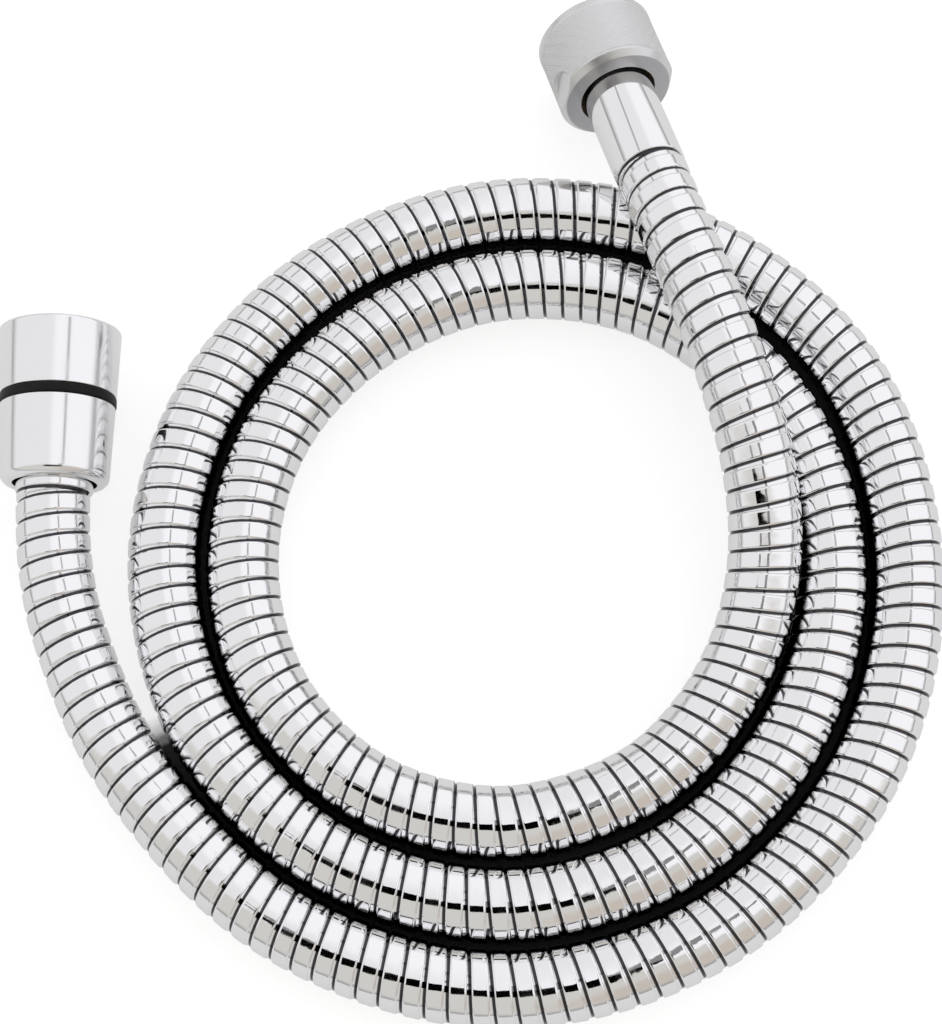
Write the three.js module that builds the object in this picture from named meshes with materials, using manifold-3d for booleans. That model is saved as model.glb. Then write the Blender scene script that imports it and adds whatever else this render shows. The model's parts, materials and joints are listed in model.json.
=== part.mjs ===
// Flexible metal shower hose lying loosely coiled: a strip-wound outer hose over a rubber liner,
// with a conical union nut for the hand shower at one end and a round union nut with spanner
// flats for the tap at the other. Millimetres, +Z up, the hose rests on the plane z = 0.

import * as THREE from 'three';
import { mergeVertices } from 'three/addons/utils/BufferGeometryUtils.js';
import Module from 'manifold-3d';

const wasm = await Module();
wasm.setup();

// Hose and liner
const hoseDiameter = 14;
const stripHeight = 1;
const linerRoom = 1.3;
const linerWall = 1.2;
const linerDiameter = hoseDiameter - 2 * (stripHeight + linerRoom);
const linerBore = linerDiameter - 2 * linerWall;

// Fit between pieces that touch, and of the barbs in the liner, which bends over them
const seatGap = 0.3;
const barbGap = 0.5;

// G 1/2 pipe thread of both union nuts
const threadMajor = 20.955;
const threadMinor = 18.631;
const threadLeadIn = 0.1;

// Flat washers and the flanged, barbed nipples behind them
const washerThickness = 2;
const washerHole = 11.5;
const flangeDiameter = 18;
const flangeThickness = 2.2;
const neckLength = 2.8;
const barbCount = 3;
const barbPitch = 3.6;
const barbHeight = 0.45;
const nippleBore = 5;

// Sleeves that join the hose to the nipples, with a spigot inside the hose
const crimpWall = 0.9;
const sleeveBore = linerDiameter + 2 * (crimpWall + 2 * seatGap);
const spigotWall = 0.4;
const spigotLength = 5;
const sleeveWeb = 1.2;
const sleeveEdge = 0.3;
const crimpLength = 7;
const crimpSetback = 3.2;

// Conical nut
const coneLength = 31;
const coneMouthDiameter = 23.7;
const coneRearDiameter = 20.7;
const coneMouthRound = 0.7;
const coneRearRound = 1.8;
const coneNeck = 14.5;
const coneShoulderDepth = coneLength - coneNeck;
const coneRearHole = 16;
const handSleeveDiameter = 14.7;
const handSleeveShow = 1.6;

// Grip ring in the groove of the conical nut
const gripPlace = 14.4;
const gripWidth = 2.4;
const gripDepth = 1;
const gripProud = 0.15;

// Round nut with six spanner flats that run out in a U
const roundLength = 16.5;
const roundDiameter = 23.8;
const roundMouthChamfer = 0.9;
const roundNeck = 3.4;
const roundShoulderDepth = roundLength - roundNeck;
const roundRearHole = 16.2;
const roundRearFace = 20.4;
const roundRearBevel = 2.2;
const flatCount = 6;
const flatAcross = 22;
const flatWidth = 8.6;
const flatLength = 6.2;
const flatTurn = 7;
const tapSleeveDiameter = 14.2;
const tapSleeveShow = 17.5;

// Facets
const roundSides = 48;
const smallSides = 32;
const hoseSides = 12;
const linerSides = 8;
const hoseSteps = 80;
const arcSteps = 4;

// Route of the hose from the conical nut to the round nut, as the angle round the coil in degrees,
// the distance from the coil's middle and the height of the centre line. The start, and the end
// that climbs over the other turns, are points chosen by hand. The turns that lie on the floor
// have one distance from the middle for each step of the angle.
const coilMiddle = [6.36, -13.05];
const routeStart = [[163.4, 89.5, 11.2], [175.4, 85.9, 10.4], [182.4, 84.6, 9.5], [190.5, 83, 8.1]];
const turnStart = 210;
const turnStep = 30;
const turnHeight = 7.1;
const turnDistances = [
  80, 79.5, 80.5, 80, 79, 78, 78.5, 76, 72, 68, 65.5, 64.5, 64.5, 65, 65.5, 65, 64, 63.5, 63, 60.5,
  56.5, 52.5, 50.5, 49.5, 50, 50.5, 50.5, 50,
];
const routeEnd = [
  [1040, 49.5, 7.6], [1060, 49.5, 9.3], [1080, 50, 13.3], [1100, 51.5, 18.4], [1118, 55.5, 21.9],
  [1134, 64, 23], [1142.9, 72.3, 22.7], [1147.6, 79.2, 21.2], [1155.9, 97.7, 15.5],
];

function routePoint([degrees, distance, height]) {
  const turn = THREE.MathUtils.degToRad(degrees);
  return new THREE.Vector3(
    coilMiddle[0] + distance * Math.cos(turn),
    coilMiddle[1] + distance * Math.sin(turn),
    height,
  );
}

const turns = turnDistances.map((distance, i) => [turnStart + i * turnStep, distance, turnHeight]);
const route = [...routeStart, ...turns, ...routeEnd].map(routePoint);
const centreLine = new THREE.CatmullRomCurve3(route);
centreLine.arcLengthDivisions = 2000;

// A stretch of a longer curve, from one length along it to another
class Stretch extends THREE.Curve {
  constructor(whole, from, to) {
    super();
    this.whole = whole;
    this.from = from / whole.getLength();
    this.to = to / whole.getLength();
  }

  getPoint(t, target = new THREE.Vector3()) {
    return this.whole.getPointAt(this.from + (this.to - this.from) * t, target);
  }
}

// Materials
function metal(color, roughness) {
  return new THREE.MeshStandardMaterial({ color, roughness, metalness: 1 });
}

function rubber(color, roughness) {
  return new THREE.MeshStandardMaterial({ color, roughness, metalness: 0 });
}

const chrome = metal(0xe2e2e6, 0.06);
const satinChrome = metal(0xc9c9cc, 0.32);
const brass = metal(0xc9a55c, 0.25);
const blackRubber = rubber(0x141414, 0.55);
const greyRubber = rubber(0x4a4a4c, 0.7);

// A turned piece: rows of [depth along the axis, radius] that close on themselves
function turned(profile, sides) {
  const loop = [...profile, profile[0]];
  const points = loop.map(([depth, radius]) => new THREE.Vector2(radius, depth));
  const geometry = new THREE.LatheGeometry(points, sides);
  return outward(geometry);
}

function signedVolume(geometry) {
  const place = geometry.getAttribute('position');
  const index = geometry.getIndex();
  const corner = [new THREE.Vector3(), new THREE.Vector3(), new THREE.Vector3()];
  let total = 0;
  for (let i = 0; i < index.count; i += 3) {
    corner.forEach((point, k) => point.fromBufferAttribute(place, index.getX(i + k)));
    total += corner[0].dot(corner[1].clone().cross(corner[2])) / 6;
  }
  return total;
}

// Shared corners merged, faces turned outwards
function outward(geometry) {
  geometry.deleteAttribute('normal');
  geometry.deleteAttribute('uv');
  const merged = mergeVertices(geometry, 1e-4);
  const index = merged.getIndex();
  const kept = [];
  for (let i = 0; i < index.count; i += 3) {
    const triangle = [index.getX(i), index.getX(i + 1), index.getX(i + 2)];
    if (new Set(triangle).size === 3) {
      kept.push(triangle);
    }
  }
  merged.setIndex(kept.flat());
  if (signedVolume(merged) < 0) {
    merged.setIndex(kept.map(([a, b, c]) => [a, c, b]).flat());
  }
  return merged;
}

function toManifold(geometry) {
  const place = geometry.getAttribute('position');
  return new wasm.Manifold(new wasm.Mesh({
    numProp: 3,
    vertProperties: new Float32Array(place.array),
    triVerts: new Uint32Array(geometry.getIndex().array),
  }));
}

function fromManifold(solid) {
  const mesh = solid.getMesh();
  const geometry = new THREE.BufferGeometry();
  geometry.setAttribute('position', new THREE.BufferAttribute(mesh.vertProperties, 3));
  geometry.setIndex(new THREE.BufferAttribute(mesh.triVerts, 1));
  return geometry;
}

// Quarter round between two radii, for the edge of a turned piece
function roundedEdge(depth, radius, size, depthSign, from, to) {
  const rows = [];
  for (let i = 0; i <= arcSteps; i += 1) {
    const turn = THREE.MathUtils.degToRad(from + ((to - from) * i) / arcSteps);
    rows.push([
      depth + depthSign * size * (1 - Math.sin(turn)),
      radius - size * (1 - Math.cos(turn)),
    ]);
  }
  return rows;
}

// Outer radius of the conical nut at a depth behind its mouth
function coneRadius(depth) {
  return THREE.MathUtils.mapLinear(depth, 0, coneLength, coneMouthDiameter / 2, coneRearDiameter / 2);
}

function conicalNut() {
  const groove = [gripPlace - gripWidth / 2, gripPlace + gripWidth / 2];
  const grooveFloor = coneRadius(gripPlace) - gripDepth;
  const lead = threadMajor / 2 + threadLeadIn - threadMinor / 2;
  return turned([
    ...roundedEdge(0, coneRadius(coneMouthRound), coneMouthRound, 1, 90, 0),
    [groove[0], coneRadius(groove[0])],
    [groove[0], grooveFloor],
    [groove[1], grooveFloor],
    [groove[1], coneRadius(groove[1])],
    ...roundedEdge(coneLength, coneRadius(coneLength - coneRearRound), coneRearRound, -1, 0, 90),
    [coneLength, coneRearHole / 2],
    [coneShoulderDepth, coneRearHole / 2],
    [coneShoulderDepth, threadMinor / 2],
    [lead, threadMinor / 2],
    [0, threadMinor / 2 + lead],
  ], roundSides);
}

function gripRing() {
  const reach = gripWidth / 2 - seatGap;
  const inner = coneRadius(gripPlace) - gripDepth + seatGap;
  const outer = coneRadius(gripPlace) + gripProud;
  return turned([
    [gripPlace - reach, inner],
    [gripPlace + reach, inner],
    [gripPlace + reach, outer - gripProud],
    [gripPlace, outer],
    [gripPlace - reach, outer - gripProud],
  ], roundSides);
}

// One spanner flat: a U-shaped block that takes the round down to the flat
function flatCutter(side) {
  const radius = flatWidth / 2;
  const outline = new THREE.Shape();
  outline.moveTo(-radius, 0);
  outline.lineTo(radius, 0);
  outline.lineTo(radius, flatLength - radius);
  outline.absarc(0, flatLength - radius, radius, 0, Math.PI);
  outline.lineTo(-radius, 0);
  const block = new THREE.ExtrudeGeometry(outline, {
    depth: roundDiameter,
    bevelEnabled: false,
    curveSegments: arcSteps,
  });
  block.translate(0, -seatGap, flatAcross / 2);
  block.rotateY((side * 2 * Math.PI) / flatCount + THREE.MathUtils.degToRad(flatTurn));
  block.rotateX(Math.PI);
  block.translate(0, roundLength, 0);
  return toManifold(outward(block));
}

function roundNut() {
  const lead = threadMajor / 2 + threadLeadIn - threadMinor / 2;
  let solid = toManifold(turned([
    [0, roundDiameter / 2 - roundMouthChamfer],
    [roundMouthChamfer, roundDiameter / 2],
    [roundLength - roundRearBevel, roundDiameter / 2],
    [roundLength, roundRearFace / 2],
    [roundLength, roundRearHole / 2],
    [roundShoulderDepth, roundRearHole / 2],
    [roundShoulderDepth, threadMinor / 2],
    [lead, threadMinor / 2],
    [0, threadMinor / 2 + lead],
  ], roundSides));
  for (let side = 0; side < flatCount; side += 1) {
    solid = solid.subtract(flatCutter(side));
  }
  return fromManifold(solid);
}

// Depths behind a nut's mouth at which the pieces of a hose end sit
function hoseEnd(shoulderDepth, sleeveShow, nutLength, sleeveDiameter) {
  const flangeBack = shoulderDepth - seatGap;
  const flangeFace = flangeBack - flangeThickness;
  const neckEnd = flangeBack + neckLength;
  return {
    flangeBack,
    flangeFace,
    neckEnd,
    washerBack: flangeFace - seatGap,
    linerStart: neckEnd + seatGap,
    sleeveFront: flangeBack + seatGap,
    sleeveBack: nutLength + sleeveShow,
    sleeveRadius: sleeveDiameter / 2,
  };
}

function washer(end) {
  const rim = threadMinor / 2 - seatGap;
  return turned([
    [end.washerBack - washerThickness, washerHole / 2],
    [end.washerBack - washerThickness, rim],
    [end.washerBack, rim],
    [end.washerBack, washerHole / 2],
  ], smallSides);
}

function nipple(end) {
  const crest = linerBore / 2 - barbGap;
  const barbs = [];
  for (let i = 0; i < barbCount; i += 1) {
    const start = end.neckEnd + i * barbPitch;
    barbs.push([start, crest - barbHeight], [start + seatGap, crest]);
  }
  const tip = end.neckEnd + barbCount * barbPitch;
  return turned([
    [end.flangeFace, nippleBore / 2],
    [end.flangeFace, flangeDiameter / 2],
    [end.flangeBack, flangeDiameter / 2],
    [end.flangeBack, sleeveBore / 2 - seatGap],
    [end.neckEnd, sleeveBore / 2 - seatGap],
    ...barbs,
    [tip, crest - barbHeight],
    [tip, nippleBore / 2],
  ], smallSides);
}

function sleeve(end) {
  const spigotBore = linerDiameter / 2 + seatGap;
  return turned([
    [end.sleeveFront, sleeveBore / 2],
    [end.sleeveFront, end.sleeveRadius - sleeveEdge],
    [end.sleeveFront + sleeveEdge, end.sleeveRadius],
    [end.sleeveBack - sleeveEdge, end.sleeveRadius],
    [end.sleeveBack, end.sleeveRadius - sleeveEdge],
    [end.sleeveBack, spigotBore + spigotWall],
    [end.sleeveBack + spigotLength, spigotBore + spigotWall],
    [end.sleeveBack + spigotLength, spigotBore],
    [end.sleeveBack - sleeveWeb, spigotBore],
    [end.sleeveBack - sleeveWeb, sleeveBore / 2],
  ], roundSides);
}

function crimpRing(end) {
  const start = end.linerStart + crimpSetback;
  return turned([
    [start, linerDiameter / 2 + seatGap],
    [start, sleeveBore / 2 - seatGap],
    [start + crimpLength, sleeveBore / 2 - seatGap],
    [start + crimpLength, linerDiameter / 2 + seatGap],
  ], smallSides);
}

// A hollow tube along a curve
function tubeAlong(curve, outerDiameter, innerDiameter, sides) {
  const section = new THREE.Shape();
  const hole = new THREE.Path();
  for (let i = 0; i < sides; i += 1) {
    const turn = (i * 2 * Math.PI) / sides;
    const place = [Math.cos(turn), Math.sin(turn)];
    if (i === 0) {
      section.moveTo((place[0] * outerDiameter) / 2, (place[1] * outerDiameter) / 2);
      hole.moveTo((place[0] * innerDiameter) / 2, (place[1] * innerDiameter) / 2);
    } else {
      section.lineTo((place[0] * outerDiameter) / 2, (place[1] * outerDiameter) / 2);
      hole.lineTo((place[0] * innerDiameter) / 2, (place[1] * innerDiameter) / 2);
    }
  }
  section.closePath();
  hole.closePath();
  section.holes.push(hole);
  return outward(new THREE.ExtrudeGeometry(section, { steps: hoseSteps, extrudePath: curve }));
}

const handEnd = hoseEnd(coneShoulderDepth, handSleeveShow, coneLength, handSleeveDiameter);
const tapEnd = hoseEnd(roundShoulderDepth, tapSleeveShow, roundLength, tapSleeveDiameter);

const lineLength = centreLine.getLength();
const hoseLine = new Stretch(
  centreLine,
  handEnd.sleeveBack + seatGap - handEnd.linerStart,
  lineLength - (tapEnd.sleeveBack + seatGap - tapEnd.linerStart),
);

// A group whose Y axis runs from a nut's mouth into the hose, in line with that end of the route
function endGroup(end, liner, inward) {
  const group = new THREE.Group();
  group.quaternion.setFromUnitVectors(new THREE.Vector3(0, 1, 0), inward);
  group.position.copy(liner).addScaledVector(inward, -end.linerStart);
  return group;
}

function addPiece(group, name, geometry, material) {
  const mesh = new THREE.Mesh(geometry, material);
  mesh.name = name;
  group.add(mesh);
}

const handPlace = endGroup(handEnd, centreLine.getPointAt(0), centreLine.getTangentAt(0));
addPiece(handPlace, 'conical_nut', conicalNut(), chrome);
addPiece(handPlace, 'grip_ring', gripRing(), blackRubber);
addPiece(handPlace, 'hand_end_washer', washer(handEnd), blackRubber);
addPiece(handPlace, 'hand_end_nipple', nipple(handEnd), brass);
addPiece(handPlace, 'hand_end_crimp_ring', crimpRing(handEnd), brass);
addPiece(handPlace, 'hand_end_sleeve', sleeve(handEnd), chrome);

const tapPlace = endGroup(tapEnd, centreLine.getPointAt(1), centreLine.getTangentAt(1).negate());
addPiece(tapPlace, 'knurled_nut', roundNut(), satinChrome);
addPiece(tapPlace, 'tap_end_washer', washer(tapEnd), blackRubber);
addPiece(tapPlace, 'tap_end_nipple', nipple(tapEnd), brass);
addPiece(tapPlace, 'tap_end_crimp_ring', crimpRing(tapEnd), brass);
addPiece(tapPlace, 'tap_end_sleeve', sleeve(tapEnd), chrome);

const showerHose = new THREE.Group();
showerHose.add(handPlace, tapPlace);
addPiece(
  showerHose,
  'strip_hose',
  tubeAlong(hoseLine, hoseDiameter, hoseDiameter - 2 * stripHeight, hoseSides),
  chrome,
);
addPiece(
  showerHose,
  'liner_tube',
  tubeAlong(centreLine, linerDiameter, linerBore, linerSides),
  greyRubber,
);

export default showerHose;
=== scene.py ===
import json
import math

import bmesh
import bpy
import numpy as np
from mathutils import Matrix, Vector


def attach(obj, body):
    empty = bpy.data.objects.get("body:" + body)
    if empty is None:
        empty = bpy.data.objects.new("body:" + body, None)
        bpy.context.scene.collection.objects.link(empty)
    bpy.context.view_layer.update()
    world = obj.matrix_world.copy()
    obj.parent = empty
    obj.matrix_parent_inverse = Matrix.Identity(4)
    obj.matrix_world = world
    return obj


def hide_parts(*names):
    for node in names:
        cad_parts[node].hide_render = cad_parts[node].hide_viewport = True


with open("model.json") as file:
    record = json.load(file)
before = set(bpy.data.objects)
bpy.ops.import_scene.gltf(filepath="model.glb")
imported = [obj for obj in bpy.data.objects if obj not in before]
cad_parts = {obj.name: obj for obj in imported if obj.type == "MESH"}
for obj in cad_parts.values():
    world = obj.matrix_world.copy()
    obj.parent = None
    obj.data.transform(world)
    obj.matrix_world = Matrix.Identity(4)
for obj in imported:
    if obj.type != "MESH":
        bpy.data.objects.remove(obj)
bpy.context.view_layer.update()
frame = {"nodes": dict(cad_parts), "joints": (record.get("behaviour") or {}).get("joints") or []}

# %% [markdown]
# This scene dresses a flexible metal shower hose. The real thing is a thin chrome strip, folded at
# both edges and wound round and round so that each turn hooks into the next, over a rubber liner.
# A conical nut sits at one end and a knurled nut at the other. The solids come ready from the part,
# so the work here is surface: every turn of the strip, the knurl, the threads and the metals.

MM = 0.001

# %% [markdown]
# The camera comes first, because everything else is judged through it. The picture was taken from
# above and slightly in front with a longish lens, so the coil looks almost round.

# %% Camera
IMAGE_HEIGHT = 1024
FOCAL_PIXELS = 2050
CAMERA_TILT = 74
CAMERA_PLACE = Vector((0.76, -112.75, 388.2)) * MM

camera_data = bpy.data.cameras.new("camera")
camera_data.sensor_width = 36
camera_data.lens = camera_data.sensor_width * FOCAL_PIXELS / IMAGE_HEIGHT
camera_data.clip_start = 10 * MM
camera = bpy.data.objects.new("camera", camera_data)
camera.location = CAMERA_PLACE
camera.rotation_euler = (math.radians(90 - CAMERA_TILT), 0, 0)
bpy.context.scene.collection.objects.link(camera)
bpy.context.scene.camera = camera
print(f"camera: lens {camera_data.lens:.1f} mm")

# %% [markdown]
# The hose lies where the part's own tube lies, so its route is repeated here point for point: the
# angle round the coil, the distance from the coil's middle and the height. Between the points runs
# a centripetal Catmull-Rom curve, which passes through every point and never loops on itself.

# %% Route of the hose
COIL_MIDDLE = Vector((6.36, -13.05, 0))
ROUTE_START = [(163.4, 89.5, 11.2), (175.4, 85.9, 10.4), (182.4, 84.6, 9.5), (190.5, 83, 8.1)]
TURN_START = 210
TURN_STEP = 30
TURN_HEIGHT = 7.1
TURN_DISTANCES = [
    80, 79.5, 80.5, 80, 79, 78, 78.5, 76, 72, 68, 65.5, 64.5, 64.5, 65, 65.5, 65, 64, 63.5, 63, 60.5,
    56.5, 52.5, 50.5, 49.5, 50, 50.5, 50.5, 50,
]
ROUTE_END = [
    (1040, 49.5, 7.6), (1060, 49.5, 9.3), (1080, 50, 13.3), (1100, 51.5, 18.4), (1118, 55.5, 21.9),
    (1134, 64, 23), (1142.9, 72.3, 22.7), (1147.6, 79.2, 21.2), (1155.9, 97.7, 15.5),
]


def route_point(degrees, distance, height):
    turn = math.radians(degrees)
    flat = Vector((distance * math.cos(turn), distance * math.sin(turn), height))
    return (COIL_MIDDLE + flat) * MM


def smooth_line(points, steps):
    """Centripetal Catmull-Rom curve through the points, with that many steps from each to the next."""
    before = points[0] * 2 - points[1]
    after = points[-1] * 2 - points[-2]
    padded = [before, *points, after]
    line = []
    for p0, p1, p2, p3 in zip(padded, padded[1:], padded[2:], padded[3:]):
        d0, d1, d2 = ((b - a).length ** 0.5 for a, b in ((p0, p1), (p1, p2), (p2, p3)))
        leave = ((p1 - p0) / d0 - (p2 - p0) / (d0 + d1) + (p2 - p1) / d1) * d1
        arrive = ((p2 - p1) / d1 - (p3 - p1) / (d1 + d2) + (p3 - p2) / d2) * d1
        for i in range(steps):
            t = i / steps
            cubic = (p1 - p2) * 2 + leave + arrive
            square = (p2 - p1) * 3 - leave * 2 - arrive
            line.append(p1 + leave * t + square * t**2 + cubic * t**3)
    return [*line, points[-1]]


turns = [(TURN_START + i * TURN_STEP, d, TURN_HEIGHT) for i, d in enumerate(TURN_DISTANCES)]
route = smooth_line([route_point(*p) for p in [*ROUTE_START, *turns, *ROUTE_END]], 40)
route_length = sum((b - a).length for a, b in zip(route, route[1:]))
print(f"route: {route_length:.3f} m of liner, end to end")

# %% [markdown]
# Each end fitting is turned about one axis, from the nut's open mouth into the hose. The joints of
# the frame hold those axes. With a matrix for each end, a fitting can be drawn upright on its own
# axis and then be put in place, and any solid of the part can be measured along the axis.

# %% The two ends
def end_matrix(joint_name, nut):
    joint = next(j for j in frame["joints"] if j["name"] == joint_name)
    inward = Vector(joint["axis"]).normalized()
    sideways = Vector((-inward.y, inward.x, 0)).normalized()
    upward = inward.cross(sideways)
    turned_to = Matrix((sideways, upward, inward)).transposed().to_4x4()
    place = Matrix.Translation(Vector(joint["pos_m"])) @ turned_to
    depths = [(place.inverted() @ v.co).z for v in frame["nodes"][nut].data.vertices]
    return place @ Matrix.Translation((0, 0, min(depths)))


def measured(node, end):
    """Front depth, back depth, smallest and largest radius of a solid of the part, in millimetres."""
    local = [end.inverted() @ v.co / MM for v in frame["nodes"][node].data.vertices]
    depths = [p.z for p in local]
    radii = [math.hypot(p.x, p.y) for p in local]
    return min(depths), max(depths), min(radii), max(radii)


HAND = end_matrix("conical_nut_spin", "conical_nut")
TAP = end_matrix("knurled_nut_spin", "knurled_nut")
for piece_name, end in (("conical_nut", HAND), ("knurled_nut", TAP)):
    print(piece_name, [round(x, 2) for x in measured(piece_name, end)])

# %% [markdown]
# Geometry Nodes trees are graphs, and building one in a script takes the same three moves again and
# again: add a node, set it up, join its sockets. Two small helpers keep the trees below readable.

# %% Helpers for node trees
def add_node(tree, kind, settings=None, **inputs):
    made = tree.nodes.new(kind)
    for name, value in (settings or {}).items():
        setattr(made, name, value)
    for name, value in inputs.items():
        socket = made.inputs[name.replace("_", " ")]
        if isinstance(value, bpy.types.NodeSocket):
            tree.links.new(value, socket)
        else:
            socket.default_value = value
    return made


def calc(tree, operation, *values, kind="ShaderNodeMath", clamp=False):
    """One Math or Vector Math node on numbers or sockets. Returns the result's socket."""
    made = tree.nodes.new(kind)
    made.operation = operation
    if clamp:
        made.use_clamp = True
    for socket, value in zip(made.inputs, values):
        if isinstance(value, bpy.types.NodeSocket):
            tree.links.new(value, socket)
        else:
            socket.default_value = value
    return made.outputs["Value"] if operation == "DOT_PRODUCT" else made.outputs[0]


def vector_calc(tree, operation, *values):
    return calc(tree, operation, *values, kind="ShaderNodeVectorMath")


def scaled(tree, vector, factor):
    made = add_node(tree, "ShaderNodeVectorMath", {"operation": "SCALE"}, Vector=vector, Scale=factor)
    return made.outputs[0]


def new_tree(name, inputs):
    """A Geometry Nodes tree with named inputs, given as (name, socket type, default)."""
    tree = bpy.data.node_groups.new(name, "GeometryNodeTree")
    tree.interface.new_socket("Geometry", in_out="INPUT", socket_type="NodeSocketGeometry")
    tree.interface.new_socket("Geometry", in_out="OUTPUT", socket_type="NodeSocketGeometry")
    for title, socket_type, default in inputs:
        socket = tree.interface.new_socket(title, in_out="INPUT", socket_type=socket_type)
        if default is not None:
            socket.default_value = default
    return tree, tree.nodes.new("NodeGroupInput"), tree.nodes.new("NodeGroupOutput")


def finish_tree(tree, geometry, material, output):
    realized = add_node(tree, "GeometryNodeRealizeInstances", Geometry=geometry)
    dressed = add_node(tree, "GeometryNodeSetMaterial", Geometry=realized.outputs[0], Material=material)
    tree.links.new(dressed.outputs[0], output.inputs[0])


def grown(name, base, tree, values):
    """The mesh that a tree makes from an object, as a plain mesh object of its own."""
    modifier = base.modifiers.new(tree.name, "NODES")
    modifier.node_group = tree
    for item in tree.interface.items_tree:
        if item.in_out == "INPUT" and item.name in values:
            modifier[item.identifier] = values[item.name]
    bpy.context.scene.collection.objects.link(base)
    graph = bpy.context.evaluated_depsgraph_get()
    mesh = bpy.data.meshes.new_from_object(base.evaluated_get(graph))
    bpy.data.objects.remove(base)
    mesh.name = name
    piece = bpy.data.objects.new(name, mesh)
    bpy.context.scene.collection.objects.link(piece)
    return piece


def face_outwards(piece, sharp_degrees):
    shape = bmesh.new()
    shape.from_mesh(piece.data)
    bmesh.ops.recalc_face_normals(shape, faces=shape.faces)
    for face in shape.faces:
        face.smooth = True
    shape.to_mesh(piece.data)
    shape.free()
    piece.data.set_sharp_from_angle(angle=math.radians(sharp_degrees))


# %% [markdown]
# Chrome is a mirror, so its own colour is nearly white and everything it shows is the room. What
# makes it look real is small: faint smears that change the gloss, and a sheet that is never quite
# flat. Both come from one group of shader nodes that every metal here shares.

# %% Shared effects for the metals
def shader_group(name, inputs, outputs):
    tree = bpy.data.node_groups.new(name, "ShaderNodeTree")
    for title, default in inputs:
        socket = tree.interface.new_socket(title, in_out="INPUT", socket_type="NodeSocketFloat")
        socket.default_value = default
    for title, socket_type in outputs:
        tree.interface.new_socket(title, in_out="OUTPUT", socket_type=socket_type)
    return tree, tree.nodes.new("NodeGroupInput"), tree.nodes.new("NodeGroupOutput")


def handled_metal_group():
    """Smears, from 0 to 1, and the height of a slightly uneven sheet."""
    inputs = [("Smear size", 6), ("Wave size", 2.5)]
    outputs = [("Smears", "NodeSocketFloat"), ("Height", "NodeSocketFloat")]
    tree, given, out = shader_group("handled metal", inputs, outputs)
    place = add_node(tree, "ShaderNodeTexCoord").outputs["Object"]
    smear_scale = calc(tree, "DIVIDE", 1 / MM, given.outputs["Smear size"])
    wave_scale = calc(tree, "DIVIDE", 1 / MM, given.outputs["Wave size"])
    smears = add_node(tree, "ShaderNodeTexNoise", Vector=place, Scale=smear_scale, Detail=5.0, Roughness=0.6)
    waves = add_node(tree, "ShaderNodeTexNoise", Vector=place, Scale=wave_scale, Detail=1.0)
    spread = add_node(tree, "ShaderNodeMapRange", Value=smears.outputs[0], From_Min=0.45, From_Max=0.75)
    tree.links.new(spread.outputs[0], out.inputs["Smears"])
    tree.links.new(waves.outputs[0], out.inputs["Height"])
    return tree


HANDLED_METAL = handled_metal_group()


def new_material(name):
    material = bpy.data.materials.new(name)
    material.use_nodes = True
    tree = material.node_tree
    return material, tree, tree.nodes["Principled BSDF"]


def use_group(tree, group, **inputs):
    made = tree.nodes.new("ShaderNodeGroup")
    made.node_tree = group
    for name, value in inputs.items():
        made.inputs[name.replace("_", " ")].default_value = value
    return made


def bump(tree, shader, height, size, strength=1.0):
    made = add_node(tree, "ShaderNodeBump", Height=height, Distance=size * MM, Strength=strength)
    tree.links.new(made.outputs[0], shader.inputs["Normal"])
    return made


def metal(name, colour, gloss, smeared, wave, wave_size=2.5):
    """A metal: its colour, its roughness clean and smeared, and the depth of its waves in mm."""
    material, tree, shader = new_material(name)
    shader.inputs["Base Color"].default_value = (*colour, 1)
    shader.inputs["Metallic"].default_value = 1
    effect = use_group(tree, HANDLED_METAL, Wave_size=wave_size)
    rough = add_node(tree, "ShaderNodeMapRange", Value=effect.outputs["Smears"], To_Min=gloss, To_Max=smeared)
    tree.links.new(rough.outputs[0], shader.inputs["Roughness"])
    bump(tree, shader, effect.outputs["Height"], wave)
    return material, tree, shader


CHROME = (0.90, 0.90, 0.91)
fitting_chrome, _, _ = metal("chrome fittings", CHROME, 0.04, 0.12, 0.01, 9)
nut_chrome, _, _ = metal("chrome nut", CHROME, 0.12, 0.2, 0.01, 9)
thread_chrome, _, _ = metal("plated threads", (0.66, 0.65, 0.64), 0.14, 0.3, 0.01)
# Painted shade: this brass is coloured nearly black, so that the nipples and crimp rings read dark deep in
# the ends.
brass_painted_shade, _, _ = metal("turned brass, painted shade", (0.15, 0.105, 0.05), 0.4, 0.55, 0.01)

# %% [markdown]
# The strip is chrome too, but it isn't bright everywhere. Light falls into the gap beside each turn
# and hardly comes out again, and where two laps of the hose touch, each hides the other's flank.
# The shade in both places, and beside the end of each sleeve, is painted into the strip's colour: dark grey
# in the seams and beside the sleeves, near black where laps touch. The mesh carries four measures for it, in
# millimetres: how far a point lies along the hose from the middle of its turn, how far off the next turn is
# on that side of the hose, and how far off the nearest sleeve and the nearest other lap are. The shader turns
# them into masks of painted shade.

# %% Chrome of the wound strip
LAND = 3.1
SEAM_SHADE = 0.72
SLEEVE_SHADE = 0.5
LAP_TOUCH = 7.9
LAP_CLEAR = 9.1
LAP_RAGGED = 1.6
# Painted shade: the colour of the seams' crevices and of the strip just beside the sleeves.
SEAM_PAINTED_SHADE = (0.055, 0.055, 0.06)
# Painted shade: near black where another lap lies close and hides the strip's flank.
LAP_PAINTED_SHADE = (0.012, 0.012, 0.013)


def read_attribute(tree, name):
    return add_node(tree, "ShaderNodeAttribute", {"attribute_name": name}).outputs["Fac"]


def between(tree, value, start, end):
    """0 before start, 1 past end, and smooth in between."""
    made = add_node(tree, "ShaderNodeMapRange", {"interpolation_type": "SMOOTHSTEP"}, Value=value)
    made.inputs["From Min"].default_value = start
    made.inputs["From Max"].default_value = end
    return made.outputs[0]


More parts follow.
